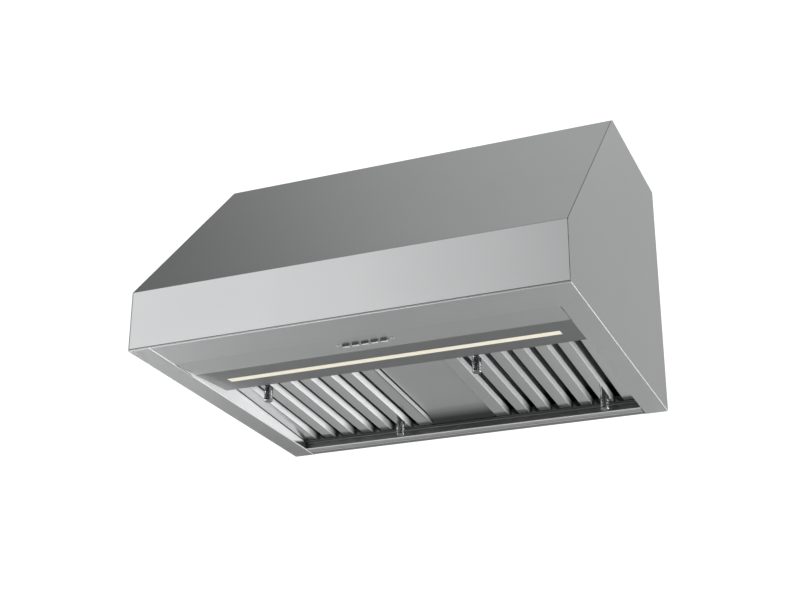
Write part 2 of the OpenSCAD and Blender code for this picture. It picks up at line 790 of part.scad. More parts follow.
module blower_wrapper() {
    flange_half = outlet_flange / 2;
    color(galvanised) placed() at_blower() {
        along_x(scroll_w) difference() {
            scroll_section(blower_t);
            scroll_section(0);
            translate([neck_front, neck_top_z - 2]) square([scroll_r - neck_front, 10]);
        }
        difference() {
            translate([-flange_half, neck_mid - flange_half, neck_top_z - blower_t])
                cube([outlet_flange, outlet_flange, blower_t]);
            block([-plate_x, neck_front, neck_top_z - 10], [plate_x, scroll_r, neck_top_z + 10]);
            translate([0, -blower_y, -blower_z]) at_flange_screws()
                translate([0, 0, hood_h]) cylinder(d = flange_screw_d + 0.2, h = cut_l, center = true, $fn = 24);
        }
    }
}

// Side plate of the scroll with a round hole on the impeller's axis
module scroll_plate(x, hole_r) {
    translate([x, 0, 0]) difference() {
        rotate([90, 0, 90]) linear_extrude(blower_t) difference() {
            scroll_section(blower_t);
            translate([neck_front - blower_t - 1, neck_top_z - blower_t])
                square([scroll_r - neck_front + 2 * blower_t + 2, 10]);
        }
        rotate([0, 90, 0]) cylinder(r = hole_r, h = 20, center = true);
        if (x > 0) rotate([0, 90, 0]) at_stud_axes() cylinder(d = stud_hole_d, h = 20, center = true, $fn = 24);
    }
}

module blower_inlet_plate() {
    color(galvanised) placed() at_blower() scroll_plate(-plate_x, inlet_r + 6);
}

module blower_motor_plate() {
    color(galvanised) placed() at_blower() scroll_plate(scroll_x, shaft_hole_r);
}

// Rolled inlet mouth that leads the air into the impeller
module inlet_ring() {
    roll = inlet_roll;
    color(galvanised) placed() at_blower() translate([-plate_x, 0, 0]) rotate([0, -90, 0])
        rotate_extrude($fn = 96) {
            translate([inlet_r + roll, 0]) difference() {
                circle(r = roll, $fn = 32);
                circle(r = roll - blower_t, $fn = 32);
                translate([-roll - 1, -2 * roll]) square([2 * roll + 2, 2 * roll]);
            }
            translate([inlet_r, -6]) square([blower_t, 6]);
            translate([inlet_r + 2 * roll - blower_t, 0]) square([8, blower_t]);
        }
}

// Forward-curved blade section: an arc between the inner and outer radius
function blade_line(shift) = [
    for (k = [0 : 6])
        let (s = k / 6, r = wheel_r - blade_depth + blade_depth * s)
        turned([r, 0], 11 * s * s - 2 * s + shift)
];

module impeller() {
    shift = 0.6;
    ring_t = 2.5;
    color(galvanised) placed() at_blower() rotate([0, 90, 0]) {
        translate([0, 0, -wheel_x + ring_t / 2]) linear_extrude(wheel_w - ring_t) for (i = [0 : blade_count - 1])
            rotate(i * 360 / blade_count)
                polygon(concat(blade_line(0), reversed(blade_line(shift))));
        translate([0, 0, -wheel_x]) linear_extrude(ring_t) difference() {
            circle(r = wheel_r + 1, $fn = 96);
            circle(r = wheel_r - blade_depth / 2, $fn = 96);
        }
        difference() {
            translate([0, 0, wheel_x - ring_t]) union() {
                cylinder(r = wheel_r + 1, h = ring_t, $fn = 96);
                translate([0, 0, -18]) cylinder(r = hub_r, h = 19, $fn = 48);
            }
            cylinder(d = shaft_d, h = 2 * wheel_w, center = true, $fn = 48);
        }
    }
}

module motor_shaft() {
    color(polished) placed() at_blower() rotate([0, 90, 0])
        translate([0, 0, wheel_x - 22]) cylinder(d = shaft_d, h = motor_x + motor_l - 6 - wheel_x + 22, $fn = 48);
}

// Motor can with end bells, cooling slots and a bearing bore for the shaft
module motor() {
    slot_count = 12;
    color(dark_steel) placed() at_blower() translate([motor_x, 0, 0]) rotate([0, 90, 0]) difference() {
        rotate_extrude($fn = 96) polygon([
            [0, 0], [motor_d / 2 - 6, 0], [motor_d / 2 - 6, 10], [motor_d / 2, 12],
            [motor_d / 2, motor_l - 16], [motor_d / 2 - 3, motor_l - 14],
            [motor_d / 2 - 8, motor_l - 3], [motor_d / 2 - 14, motor_l], [0, motor_l]
        ]);
        translate([0, 0, -1]) cylinder(r = shaft_d / 2 + shaft_gap, h = motor_l - 3, $fn = 48);
        for (i = [0 : slot_count - 1]) rotate(i * 360 / slot_count)
            translate([motor_d / 4, -2, motor_l - 4]) cube([motor_d / 8, 4, 8]);
        at_stud_axes() translate([0, 0, -1]) cylinder(d = motor_stud_d, h = stud_bite + 3, $fn = 24);
    }
}

module at_stud_axes() {
    for (k = [0 : 2]) rotate(k * 120 + 150) translate([motor_stud_r, 0, 0]) children();
}

// Ring between the motor plate and the motor, with the three studs and their nuts
module motor_mount() {
    color(polished) placed() at_blower() rotate([0, 90, 0]) {
        translate([0, 0, plate_x]) difference() {
            cylinder(r = motor_stud_r + motor_stud_d + 4, h = mount_t, $fn = 96);
            translate([0, 0, -1]) cylinder(r = shaft_hole_r, h = mount_t + 2, $fn = 64);
        }
        at_stud_axes() translate([0, 0, scroll_x - motor_nut_h]) {
            cylinder(d = motor_stud_d, h = motor_nut_h + blower_t + mount_t + stud_bite, $fn = 24);
            cylinder(d = 1.8 * motor_stud_d, h = motor_nut_h, $fn = 6);
        }
    }
}

// Can with its two terminals, on the motor plate below and in front of the motor
module capacitor() {
    from_axis = (motor_d / 2 + capacitor_r + 4) / sqrt(2);
    color(polished) placed() at_blower() translate([plate_x, -from_axis, -from_axis]) {
        rotate([0, 90, 0]) cylinder(r = capacitor_r, h = capacitor_l, $fn = 48);
        for (z = [-1, 1]) translate([capacitor_l, -0.4, z * capacitor_r / 3 - 3]) cube([8, 0.8, 6]);
    }
}

module junction_box() {
    t = sheet_t;
    top = hood_h - sheet_t;
    color(galvanised) placed() difference() {
        block([junction_x - junction_w / 2, -sheet_t - junction_d, top - junction_h],
            [junction_x + junction_w / 2, -sheet_t, top]);
        block([junction_x - junction_w / 2 + t, -sheet_t - junction_d - 1, top - junction_h + t],
            [junction_x + junction_w / 2 - t, -sheet_t - t, top - t]);
        translate([junction_x, 0, top - junction_h / 2])
            rotate([90, 0, 0]) cylinder(r = bushing_r, h = 20, center = true, $fn = 32);
        translate([junction_x - junction_w / 2, -junction_d / 2, top - junction_h / 2])
            rotate([0, 90, 0]) cylinder(r = wire_hole_r, h = 10, center = true, $fn = 32);
    }
}

module junction_cover() {
    t = sheet_t;
    top = hood_h - sheet_t;
    front = -sheet_t - junction_d;
    color(galvanised) placed() {
        block([junction_x - junction_w / 2, front - t, top - junction_h],
            [junction_x + junction_w / 2, front, top - rest_gap]);
        for (x = [-1, 1]) translate([junction_x + x * junction_w / 4, front - t, top - junction_h / 2])
            rotate([90, 0, 0]) cylinder(d = 7, h = 2, $fn = 24);
    }
}

// Snap bushing through the back panel and the junction box, with its collar inside the box
module cable_bushing() {
    color(black_plastic) placed() translate([junction_x, 0, hood_h - sheet_t - junction_h / 2])
        rotate([90, 0, 0]) difference() {
            union() {
                cylinder(r = bushing_r - 0.2, h = bushing_l, $fn = 48);
                translate([0, 0, 2 * sheet_t]) cylinder(r = bushing_r + 2.5, h = bushing_l - 2 * sheet_t, $fn = 48);
            }
            translate([0, 0, -1]) cylinder(r = cable_r, h = bushing_l + 2, $fn = 48);
        }
}

// Places of the four screws that hold the blower's flange to the top
module at_flange_screws() {
    half = outlet_flange / 2 - 6;
    for (x = [-1, 1], y = [-1, 1]) translate([x * half, -collar_y + y * half, 0]) children();
}

module flange_screws() {
    color(polished) placed() at_flange_screws() translate([0, 0, hood_h]) {
        rotate_extrude($fn = 32) polygon([[0, 0], [4.2, 0], [4.2, 0.9], [3.4, 2], [1.6, 2.6], [0, 2.6]]);
        translate([0, 0, -6]) cylinder(d = flange_screw_d, h = 6, $fn = 24);
    }
}

// Round collar with its flange on the top and an inner stop for the flaps
module duct_collar() {
    color(steel) placed() translate([0, -collar_y, hood_h]) difference() {
        union() {
            cylinder(r = collar_r, h = collar_h, $fn = 128);
            cylinder(r = collar_r + collar_flange_w, h = collar_t, $fn = 128);
        }
        translate([0, 0, -1]) cylinder(r = throat_r, h = collar_h + 2, $fn = 128);
        translate([0, 0, rod_z - flap_t - 0.3]) cylinder(r = collar_r - collar_t, h = collar_h, $fn = 128);
        translate([0, 0, rod_z]) rotate([0, 90, 0]) cylinder(d = rod_d, h = 3 * collar_r, center = true, $fn = 48);
    }
}

module damper_rod() {
    color(polished) placed() translate([0, -collar_y, hood_h + rod_z]) rotate([0, 90, 0])
        cylinder(d = rod_d, h = collar_d - 0.4, center = true, $fn = 48);
}

// Half disc on rolled knuckles. The two flaps' knuckles alternate along the rod
module flap_shape(knuckles) {
    difference() {
        union() {
            difference() {
                translate([0, 0, -flap_t]) cylinder(r = flap_r, h = flap_t, $fn = 128);
                translate([-collar_r, -collar_d, -5]) cube([2 * collar_r, collar_d + knuckle_r + 0.4, 10]);
            }
            for (x = knuckles) translate([x, 0, 0]) {
                rotate([0, 90, 0]) cylinder(r = knuckle_r, h = knuckle_l, center = true, $fn = 48);
                translate([-knuckle_l / 2, 0, -flap_t]) cube([knuckle_l, knuckle_r + 1, flap_t]);
            }
        }
        rotate([0, 90, 0]) cylinder(r = rod_d / 2 + rod_gap, h = 3 * collar_r, center = true, $fn = 48);
    }
}

module rear_damper_flap() {
    color(galvanised) placed() translate([0, -collar_y, hood_h + rod_z])
        flap_shape([-collar_r * 0.6, collar_r * 0.3]);
}

module front_damper_flap() {
    color(galvanised) placed() translate([0, -collar_y, hood_h + rod_z])
        rotate([0, 0, 180]) flap_shape([-collar_r * 0.6, collar_r * 0.3]);
}

outer_wrap();
left_side_panel();
right_side_panel();
back_panel();
bottom_frame();
left_liner();
right_liner();
light_panel();
led_lens();
led_board();
led_housing();
led_driver();
switch_body();
switch_screws();
light_button();
off_button();
low_button();
medium_button();
high_button();
grease_rail();
grease_trough();
rear_flange();
centre_panel();
left_filter_frame();
left_filter_lower_baffles();
left_filter_upper_baffles();
left_filter_knobs();
left_filter_knob_nuts();
right_filter_frame();
right_filter_lower_baffles();
right_filter_upper_baffles();
right_filter_knobs();
right_filter_knob_nuts();
blower_wrapper();
blower_inlet_plate();
blower_motor_plate();
inlet_ring();
impeller();
motor_shaft();
motor();
motor_mount();
capacitor();
junction_box();
junction_cover();
cable_bushing();
duct_collar();
damper_rod();
front_damper_flap();
rear_damper_flap();
flange_screws();
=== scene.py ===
"""Looks of an under-cabinet range hood: finishes, studio light and the photograph's camera."""
import math

import bpy
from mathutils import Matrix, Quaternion, Vector


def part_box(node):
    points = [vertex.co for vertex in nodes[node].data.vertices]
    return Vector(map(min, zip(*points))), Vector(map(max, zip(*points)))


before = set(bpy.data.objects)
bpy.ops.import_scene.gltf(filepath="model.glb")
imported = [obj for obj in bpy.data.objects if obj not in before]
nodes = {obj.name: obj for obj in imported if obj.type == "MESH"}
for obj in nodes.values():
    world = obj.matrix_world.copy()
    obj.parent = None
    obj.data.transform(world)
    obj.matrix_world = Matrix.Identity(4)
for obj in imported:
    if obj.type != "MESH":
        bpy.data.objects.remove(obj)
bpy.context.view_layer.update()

# Camera, fitted to the corners of the hood in the photograph: focal length in pixels, metres and degrees
PHOTO_W = 800
FOCAL_PX = 1489.1
CAMERA_AT = Vector((0.9105, -2.5967, -1.1413))
CAMERA_YAW = 22.283
CAMERA_PITCH = 23.147
CAMERA_ROLL = 0.107
SENSOR_W = 36.0

# Floor, below the camera
FLOOR_Z = -1.9
FLOOR_SIZE = 16.0
FLOOR_GREY = (0.62, 0.62, 0.62)

# Soft fields of the studio: azimuth, elevation, inner and outer radius in degrees, and what each adds
STUDIO_FIELDS = (
    (-24, 23, 20, 29, 1.0),
    (-132, 20, 10, 45, 1.05),
    (-150, 22, 6, 22, 0.14),
    (20, 65, 8, 42, 0.49),
    (12, 28, 6, 24, 0.37),
    (75, 20, 10, 40, 0.69),
)
STUDIO_BASE = 0.142

# Lamps: place, what each faces, its two sides in metres, and watts
LAMPS = {
    "low_right": ((1.7, 0.5, -1.5), (0, -0.2, -0.25), (2.4, 0.9), 62),
    "low_left": ((-2.0, -0.6, -1.5), (0, -0.3, -0.25), (0.5, 0.5), 30),
    "low_front": ((-0.64, -1.35, -1.8), (0, -0.6, -0.25), (1.2, 0.6), 7),
    "floor_pool": ((-3.6, 2.2, -1.0), (-3.6, 2.2, FLOOR_Z), (1.4, 1.4), 60),
    "near_pool": ((0.5, 3.0, -1.1), (0.5, 3.0, FLOOR_Z), (0.8, 0.8), 14),
}

# Finishes, as linear colours
STEEL = (0.56, 0.568, 0.572)
PANEL_STEEL = (0.29, 0.294, 0.297)
FILTER_STEEL = (0.54, 0.546, 0.55)
# Painted reflection: one pale wall colour, painted lighter on the left filter's walls and the bottom frame's
# end walls, and darker on the right filter's walls
LIT_WALL_STEEL = (0.84, 0.845, 0.85)
SHADED_WALL_STEEL = (0.55, 0.555, 0.56)
# Pale wall colour of the liners, a painted reflection as on the filters' walls
LINER_STEEL = (0.74, 0.745, 0.75)
GALVANISED = (0.56, 0.59, 0.61)
CHROME = (0.83, 0.83, 0.84)
KNOB_METAL = (0.2, 0.2, 0.205)
LAMP_ALUMINIUM = (0.7, 0.71, 0.72)
CAPACITOR_ALUMINIUM = (0.72, 0.73, 0.74)
MOTOR_PAINT = (0.02, 0.02, 0.022)
GREY_PLASTIC = (0.1, 0.1, 0.105)
BUTTON_PLASTIC = (0.1, 0.1, 0.104)
BLACK_PLASTIC = (0.012, 0.012, 0.012)
LENS_GLOW = (0.93, 0.89, 0.7)
LENS_PLASTIC = (0.4, 0.38, 0.31)
BOARD = (0.02, 0.12, 0.05)
PALE_BOARD = (0.03, 0.15, 0.06)
TRACKS = (0.06, 0.3, 0.1)
# Painted highlights: a pale colour on folds, edges and the buttons' caps, and a paler one on the bottom
# frame's left seam
PAINTED_HIGHLIGHT = (0.5, 0.5, 0.5)
PAINTED_SEAM_HIGHLIGHT = (0.75, 0.75, 0.75)
WHITE = (1, 1, 1)

# Shares of a finish's colour that single pieces have; all but the switch screws' paint in shade, as darker
# copies of one finish
BACK_TONE = 0.42
BOTTOM_FRAME_TONE = 0.95
CENTRE_TONE = 0.88
REAR_FLANGE_TONE = 0.5
UPPER_BAFFLE_TONE = 0.25
SWITCH_SCREW_TONE = 0.5

# Mill finish, on the walls that aren't brushed and on the painted highlights
MILL_METALLIC = 0.2
MILL_ROUGH = 0.4

# Brushing: noise scale across and along its streaks, and how far they change tone, roughness and height
GRAIN_ACROSS = 900.0
GRAIN_ALONG = 3.0
BROADER = 12
FINE_SHARE = 0.7
STREAK_TONE = 0.02
STREAK_ROUGH = 0.02
STREAK_LIFT = 0.015
STREAK_HEIGHT = 0.0002

# Handling marks on brushed sheet: noise scale, and what they add to the roughness at least and at most
MARK_SCALE = 5.0
MARK_ROUGH = (-0.01, 0.02)

# Other textures: noise or crystal scales, how far roughness varies, and heights in metres
ROUGH_SPREAD = 0.04
WIPE_SCALE = 60.0
MOTTLE_SCALE = 30.0
PLASTIC_GRAIN = 1500.0
PAINT_GRAIN = 900.0
GRAIN_HEIGHT = 0.00005
SPANGLE_SCALE = 140.0
SPANGLE_ROUGH = (0.34, 0.52)
SPANGLE_LIFT = 0.08
SPANGLE_HEIGHT = 0.0003

# Wave scale that puts one pulse of the lens over each light chip
CHIP_SCALE = 12.6

# Where the hood's folds and seams are, in metres
BOTTOM_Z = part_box("left_side_panel")[0][2]
TROUGH_END_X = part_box("grease_trough")[1][0]
TROUGH_REAR_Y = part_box("grease_trough")[1][1]
FLANGE_FOLD_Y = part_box("rear_flange")[0][1] + 0.0005
LINER_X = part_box("right_liner")[0][0]
FRAME_SEAM_X = -LINER_X - 0.0007
LEFT_FILTER_END_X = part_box("left_filter_frame")[1][0]

# Range of the normal's z over which a button's cap, with its painted highlight, turns into its sides
CAP_FACING = (-0.8, -0.5)

# Slits beside the strip, with painted shade in them
SLIT_X = (TROUGH_END_X + LINER_X) / 2
SLIT_Y = -0.52
SLIT_REACH_X = 0.0014
SLIT_REACH_Y = 0.036
SLIT_TONE = 0.1

# Painted shade on the left flange, which grows towards the wall side and ends softly at the flange's inner
# edge
FLANGE_X = -LINER_X - 0.0005
FLANGE_SOFTNESS = 0.005
FLANGE_SHADE_START_Y = -0.45
FLANGE_SHADE_END_Y = -0.05
FLANGE_SHADE_TONE = 0.7

# Painted highlight lines: how far they reach from an edge or a fold, and the share of the reach where they
# are full
EDGE_HIGHLIGHT_REACH = 0.0013
FOLD_HIGHLIGHT_REACH = 0.0016
FULL_SHARE = 0.6

# Plane of the filters' undersides: its height at y = 0, and how much it falls for each metre of y
FILTER_PLANE_Z = -0.238
FILTER_FALL = 0.0472

# Line below which the liners have painted shade in their rear corner: its height at y = 0, and its rise
CORNER_Z = -0.223
CORNER_RISE = 0.3
CORNER_SOFTNESS = 0.004
CORNER_TONE = 0.06

# Inner end of the left filter's frame, in the centre panel's shade
SEAM_REACH = 0.004
SEAM_TONE = 0.5

# Shades: where each starts, where it is full, and the share of the colour that it leaves
LINER_SHADE = (-0.0005, 0.0005, 0.05)
FILTER_FRAME_SHADE = (0.0115, 0.0135, 0.05)
LOWER_BAFFLE_SHADE = (0.012, 0.0145, 0.1)
FILTER_REAR_SHADE = (-0.1, -0.05, 0.15)
SEAM_SHADE = (0.0075, 0.0085, 0.05)
CENTRE_REAR_SHADE = (-0.105, -0.062, 0.12)
RAIL_SHADE = (BOTTOM_Z + 0.0005, BOTTOM_Z + 0.001, 0.31)
TROUGH_REAR_SHADE = (TROUGH_REAR_Y - 0.0065, TROUGH_REAR_Y - 0.0045, 0.6)
TROUGH_END_SHADE = (TROUGH_END_X - 0.0019, TROUGH_END_X - 0.0009, 0.1)

# Edges: how far they are broken, the angle in degrees at which they count as sharp, and what counts as flat
EDGE_BREAK = 0.0003
FRAME_EDGE_BREAK = 0.0007
BREAK_SEGMENTS = 2
BREAK_ANGLE = 40
CREASE_ANGLE = 30
FLAT_ANGLE = 0.3
JOIN_DISTANCE = 0.000002

# Sockets of a Mix node when it mixes colours
MIX_A = 6
MIX_B = 7
MIX_RESULT = 2


# Camera, studio and lamps
def add_camera():
    yaw = math.radians(CAMERA_YAW)
    pitch = math.radians(CAMERA_PITCH)
    forward = Vector((-math.sin(yaw) * math.cos(pitch), math.cos(yaw) * math.cos(pitch), math.sin(pitch)))
    turn = forward.to_track_quat("-Z", "Y") @ Quaternion((0, 0, 1), math.radians(CAMERA_ROLL))
    data = bpy.data.cameras.new("photo_camera")
    data.sensor_width = SENSOR_W
    data.lens = FOCAL_PX * SENSOR_W / PHOTO_W
    camera = bpy.data.objects.new("photo_camera", data)
    camera.location = CAMERA_AT
    camera.rotation_mode = "QUATERNION"
    camera.rotation_quaternion = turn
    bpy.context.scene.collection.objects.link(camera)
    bpy.context.scene.camera = camera


def add_node(tree, kind, inputs=None, **settings):
    """A node with its settings, and each input linked to a socket or given a value."""
    made = tree.nodes.new(kind)
    for name, value in settings.items():
        setattr(made, name, value)
    for key, value in (inputs or {}).items():
        if isinstance(value, bpy.types.NodeSocket):
            tree.links.new(value, made.inputs[key])
        else:
            made.inputs[key].default_value = value
    return made


def combine(tree, first, second, operation="ADD"):
    return add_node(tree, "ShaderNodeMath", {0: first, 1: second}, operation=operation).outputs["Value"]


def direction(azimuth, elevation):
    """Unit vector, with the azimuth from +Y towards +X, in degrees."""
    a = math.radians(azimuth)
    e = math.radians(elevation)
    return (math.sin(a) * math.cos(e), math.cos(a) * math.cos(e), math.sin(e))


def add_world():
    """Plain studio: white where the photograph's camera looks, and grey between its fields."""
    world = bpy.data.worlds.new("studio")
    bpy.context.scene.world = world
    world.use_nodes = True
    tree = world.node_tree
    tree.nodes.clear()
    looked_at = add_node(tree, "ShaderNodeTexCoord").outputs["Generated"]
    total = STUDIO_BASE
    for azimuth, elevation, inner, outer, amount in STUDIO_FIELDS:
        vectors = {0: looked_at, 1: direction(azimuth, elevation)}
        closeness = add_node(tree, "ShaderNodeVectorMath", vectors, operation="DOT_PRODUCT").outputs["Value"]
        field = add_node(tree, "ShaderNodeMapRange", {
            "Value": closeness,
            "From Min": math.cos(math.radians(outer)),
            "From Max": math.cos(math.radians(inner)),
            "To Min": 0.0,
            "To Max": amount,
        }, interpolation_type="SMOOTHERSTEP").outputs["Result"]
        total = combine(tree, total, field)
    lit = add_node(tree, "ShaderNodeBackground", {"Color": total, "Strength": 1.0})
    add_node(tree, "ShaderNodeOutputWorld", {"Surface": lit.outputs["Background"]})


def add_lamp(name, at, aim, size, watts):
    data = bpy.data.lights.new(name, "AREA")
    data.shape = "RECTANGLE"
    data.size = size[0]
    data.size_y = size[1]
    data.energy = watts
    lamp = bpy.data.objects.new(name, data)
    lamp.location = at
    lamp.rotation_euler = (Vector(aim) - Vector(at)).to_track_quat("-Z", "Y").to_euler()
    bpy.context.scene.collection.objects.link(lamp)


def add_floor():
    mesh = bpy.data.meshes.new("floor")
    half = FLOOR_SIZE / 2
    corners = [(x, y, FLOOR_Z) for x, y in ((-half, -half), (half, -half), (half, half), (-half, half))]
    mesh.from_pydata(corners, [], [(0, 1, 2, 3)])
    floor = bpy.data.objects.new("floor", mesh)
    bpy.context.scene.collection.objects.link(floor)
    paint, _, shader = new_material("floor_paint", Roughness=0.8)
    shader.inputs["Base Color"].default_value = shade(FLOOR_GREY, 1)
    mesh.materials.append(paint)


# Parts of materials
def new_material(name, **sockets):
    """A material with its shader's plain sockets set, and its tree and shader."""
    material = bpy.data.materials.new(name)
    material.use_nodes = True
    tree = material.node_tree
    shader = tree.nodes["Principled BSDF"]
    for key, value in sockets.items():
        shader.inputs[key.replace("_", " ")].default_value = value
    return material, tree, shader


def dimmed(colour, factor):
    return tuple(c * factor for c in colour)


def shade(colour, factor):
    """A dimmed colour with the fourth number that a colour socket takes."""
    return dimmed(colour, factor) + (1.0,)


def current(socket):
    """What a socket has now: the socket linked to it, or its own value."""
    return socket.links[0].from_socket if socket.links else socket.default_value


def mix_colours(tree, factor, first, second, blend_type="MIX"):
    inputs = {"Factor": factor, MIX_A: first, MIX_B: second}
    made = add_node(tree, "ShaderNodeMix", inputs, data_type="RGBA", blend_type=blend_type)
    return made.outputs[MIX_RESULT]


def mix_values(tree, factor, first, second):
    return add_node(tree, "ShaderNodeMix", {"Factor": factor, "A": first, "B": second}).outputs["Result"]


def absolute(tree, value):
    return add_node(tree, "ShaderNodeMath", {0: value}, operation="ABSOLUTE").outputs["Value"]


def spread(tree, value, low, high, from_low=0.3, from_high=0.7):
    """Maps one range to another and stops at its ends; by default the range where noise mostly lies."""
    return add_node(tree, "ShaderNodeMapRange", {
        "Value": value, "From Min": from_low, "From Max": from_high, "To Min": low, "To Max": high,
    }).outputs["Result"]


def rising(tree, value, start, end):
    """0 up to the start, and 1 from the end on."""
    return spread(tree, value, 0, 1, start, end)


def falling(tree, value, start, end):
    """1 up to the start, and 0 from the end on."""
    return spread(tree, value, 1, 0, start, end)


def near(tree, value, place, reach):
    """1 where the value is close to a place, and 0 beyond its reach."""
    away = absolute(tree, combine(tree, value, place, "SUBTRACT"))
    return falling(tree, away, reach * FULL_SHARE, reach)


def both(tree, first, second):
    """1 where both masks are 1."""
    return combine(tree, first, second, "MULTIPLY")


def object_coords(tree):
    """Place in the hood's frame, because each node's object sits at the origin."""
    return add_node(tree, "ShaderNodeTexCoord").outputs["Object"]


def place_on(tree):
    return add_node(tree, "ShaderNodeSeparateXYZ", {"Vector": object_coords(tree)}).outputs


def facing(tree):
    normal = add_node(tree, "ShaderNodeTexCoord").outputs["Normal"]
    return add_node(tree, "ShaderNodeSeparateXYZ", {"Vector": normal}).outputs


def side_facing(tree, start=0.6, end=0.9):
    """1 on faces that look left or right, 0 on the others."""
    return rising(tree, absolute(tree, facing(tree)["X"]), start, end)


def filter_depth(tree):
    """Height over the plane of the filters' undersides."""
    place = place_on(tree)
    fallen = combine(tree, place["Y"], FILTER_FALL, "MULTIPLY")
    return combine(tree, combine(tree, place["Z"], fallen), -FILTER_PLANE_Z)


def noise(tree, scale, detail=2.0, roughness=0.5):
    scaled = add_node(tree, "ShaderNodeMapping", {"Vector": object_coords(tree), "Scale": scale})
    return add_node(tree, "ShaderNodeTexNoise", {
        "Vector": scaled.outputs["Vector"], "Scale": 1.0, "Detail": detail, "Roughness": roughness,
    }).outputs["Fac"]


def streaks(tree, axis, across, along, **kind):
    """Noise drawn out along one axis."""
    scale = [across] * 3
    scale["XYZ".index(axis)] = along
    return noise(tree, scale, **kind)


def vary_roughness(tree, shader, texture, rough):
    varied = spread(tree, texture, rough - ROUGH_SPREAD, rough + ROUGH_SPREAD)
    tree.links.new(varied, shader.inputs["Roughness"])


def lift_surface(tree, shader, height, strength, distance):
    bump = add_node(tree, "ShaderNodeBump", {"Strength": strength, "Distance": distance, "Height": height})
    tree.links.new(bump.outputs["Normal"], shader.inputs["Normal"])


# Changes to a material where a mask is 1
def darkened(material, mask, depth):
    """Multiplies the colour by depth where the mask is 1: painted shade."""
    tree = material.node_tree
    base = tree.nodes["Principled BSDF"].inputs["Base Color"]
    tree.links.new(mix_colours(tree, mask, current(base), shade(WHITE, depth), "MULTIPLY"), base)
    return material


def satin_painted_light(material, mask, colour):
    """Duller finish where the mask is 1, with a pale colour for painted highlights and painted reflections.
    """
    tree = material.node_tree
    shader = tree.nodes["Principled BSDF"]
    for name, value in (("Metallic", MILL_METALLIC), ("Roughness", MILL_ROUGH)):
        socket = shader.inputs[name]
        tree.links.new(mix_values(tree, mask, current(socket), value), socket)
    base = shader.inputs["Base Color"]
    tree.links.new(mix_colours(tree, mask, current(base), shade(colour, 1)), base)
    return material


def satin_walls_painted_light(material, colour):
    """Mill finish on the faces that look left or right, in a pale colour that paints in their reflection."""
    return satin_painted_light(material, side_facing(material.node_tree), colour)


def painted_highlight_line(material, axis, place, reach, colour=PAINTED_HIGHLIGHT):
    """A painted highlight along a fold, on a line where one coordinate has one value."""
    tree = material.node_tree
    return satin_painted_light(material, near(tree, place_on(tree)[axis], place, reach), colour)


def shaded(material, value, start, end, depth):
    """Paints shade on a material where a value goes from start to end."""
    return darkened(material, rising(material.node_tree, value, start, end), depth)


def dark_ends(material):
    """Painted shade in the joints at the two ends of the trough."""
    tree = material.node_tree
    return shaded(material, absolute(tree, place_on(tree)["X"]), *TROUGH_END_SHADE)


# Kinds of finish
def brushed(name, colour, axis, rough=0.3):
    """Brushed sheet: long fine streaks along one axis, with faint cloudy handling marks."""
    material, tree, shader = new_material(name, Metallic=1.0, Anisotropic=0.25)
    fine = streaks(tree, axis, GRAIN_ACROSS, GRAIN_ALONG, detail=3.0, roughness=0.65)
    broad = streaks(tree, axis, GRAIN_ACROSS / BROADER, GRAIN_ALONG / 2)
    marks = noise(tree, (MARK_SCALE,) * 3, detail=3.0, roughness=0.55)
    fine_share = combine(tree, fine, FINE_SHARE, "MULTIPLY")
    broad_share = combine(tree, broad, 1 - FINE_SHARE, "MULTIPLY")
    grain = combine(tree, fine_share, broad_share)
    darker = shade(colour, 1 - STREAK_TONE)
    lighter = shade(colour, 1 + STREAK_TONE)
    tree.links.new(mix_colours(tree, spread(tree, grain, 0, 1), darker, lighter), shader.inputs["Base Color"])
    streaked = spread(tree, grain, rough - STREAK_ROUGH, rough + STREAK_ROUGH)
    handled = spread(tree, marks, *MARK_ROUGH)
    tree.links.new(combine(tree, streaked, handled), shader.inputs["Roughness"])
    lift_surface(tree, shader, fine, STREAK_LIFT, STREAK_HEIGHT)
    tangent = add_node(tree, "ShaderNodeTangent", direction_type="RADIAL", axis=axis)
    tree.links.new(tangent.outputs["Tangent"], shader.inputs["Tangent"])
    return material


def polished(name, colour, rough=0.1, sheen=0.0):
    """Bright metal with faint wipe marks."""
    material, tree, shader = new_material(name, Metallic=1.0, Sheen_Weight=sheen, Sheen_Roughness=0.15)
    wipes = noise(tree, (WIPE_SCALE,) * 3)
    vary_roughness(tree, shader, wipes, rough)
    tone = mix_colours(tree, spread(tree, wipes, 0, 1), shade(colour, 0.97), shade(colour, 1.02))
    tree.links.new(tone, shader.inputs["Base Color"])
    return material


def moulded(name, colour, rough, grain_scale=PLASTIC_GRAIN, lift=0.15):
    """Moulded plastic or paint with a fine texture."""
    material, tree, shader = new_material(name)
    grain = noise(tree, (grain_scale,) * 3)
    mottle = noise(tree, (MOTTLE_SCALE,) * 3)
    tone = mix_colours(tree, spread(tree, mottle, 0, 1), shade(colour, 0.92), shade(colour, 1.08))
    tree.links.new(tone, shader.inputs["Base Color"])
    vary_roughness(tree, shader, grain, rough)
    lift_surface(tree, shader, grain, lift, GRAIN_HEIGHT)
    return material


def galvanised():
    """Zinc coat with its crystal spangle."""
    material, tree, shader = new_material("galvanised_sheet", Metallic=0.9)
    crystals = add_node(tree, "ShaderNodeTexVoronoi", {
        "Vector": object_coords(tree), "Scale": SPANGLE_SCALE, "Randomness": 1.0,
    })
    tone = add_node(tree, "ShaderNodeSeparateColor", {"Color": crystals.outputs["Color"]}).outputs["Red"]
    coat = mix_colours(tree, tone, shade(GALVANISED, 0.82), shade(GALVANISED, 1.12))
    tree.links.new(coat, shader.inputs["Base Color"])
    tree.links.new(spread(tree, tone, *SPANGLE_ROUGH, 0, 1), shader.inputs["Roughness"])
    lift_surface(tree, shader, crystals.outputs["Distance"], SPANGLE_LIFT, SPANGLE_HEIGHT)
    return material


